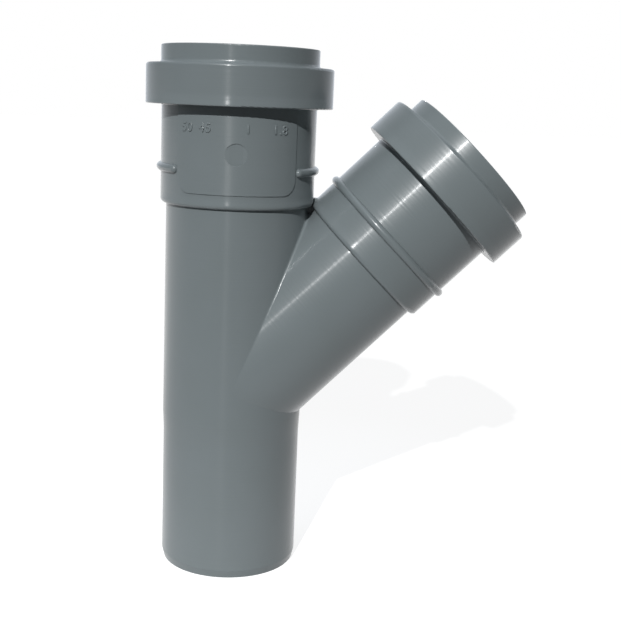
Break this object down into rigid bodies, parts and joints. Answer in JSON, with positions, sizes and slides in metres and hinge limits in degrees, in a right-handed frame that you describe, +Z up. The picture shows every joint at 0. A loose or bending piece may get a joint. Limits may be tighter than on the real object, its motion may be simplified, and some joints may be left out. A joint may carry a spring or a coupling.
{
  "type": "lateral wye fitting",
  "caption": "Push-fit drain wye: a straight run with a plain spigot foot and a beaded socket, and an equal socketed branch that leaves it at half a right angle.",
  "frame": {"origin": "centre of the spigot's end, on the run's axis, where the fitting stands", "axes": "+Z up the run's axis toward its socket; the branch leaves toward +X in the XZ plane; the label panel on the run's socket faces -Y"},
  "size_m": [0.1363, 0.0656, 0.187],
  "materials": {
    "grey_plastic": "satin dusty grey, injection moulded, with fine turning lines from the mould",
    "black_rubber": "matt black elastomer, faintly greased"
  },
  "bodies": {
    "root": {"wye_body": "grey_plastic", "run_seal_ring": "black_rubber", "branch_seal_ring": "black_rubber"}
  },
  "joints": []
}
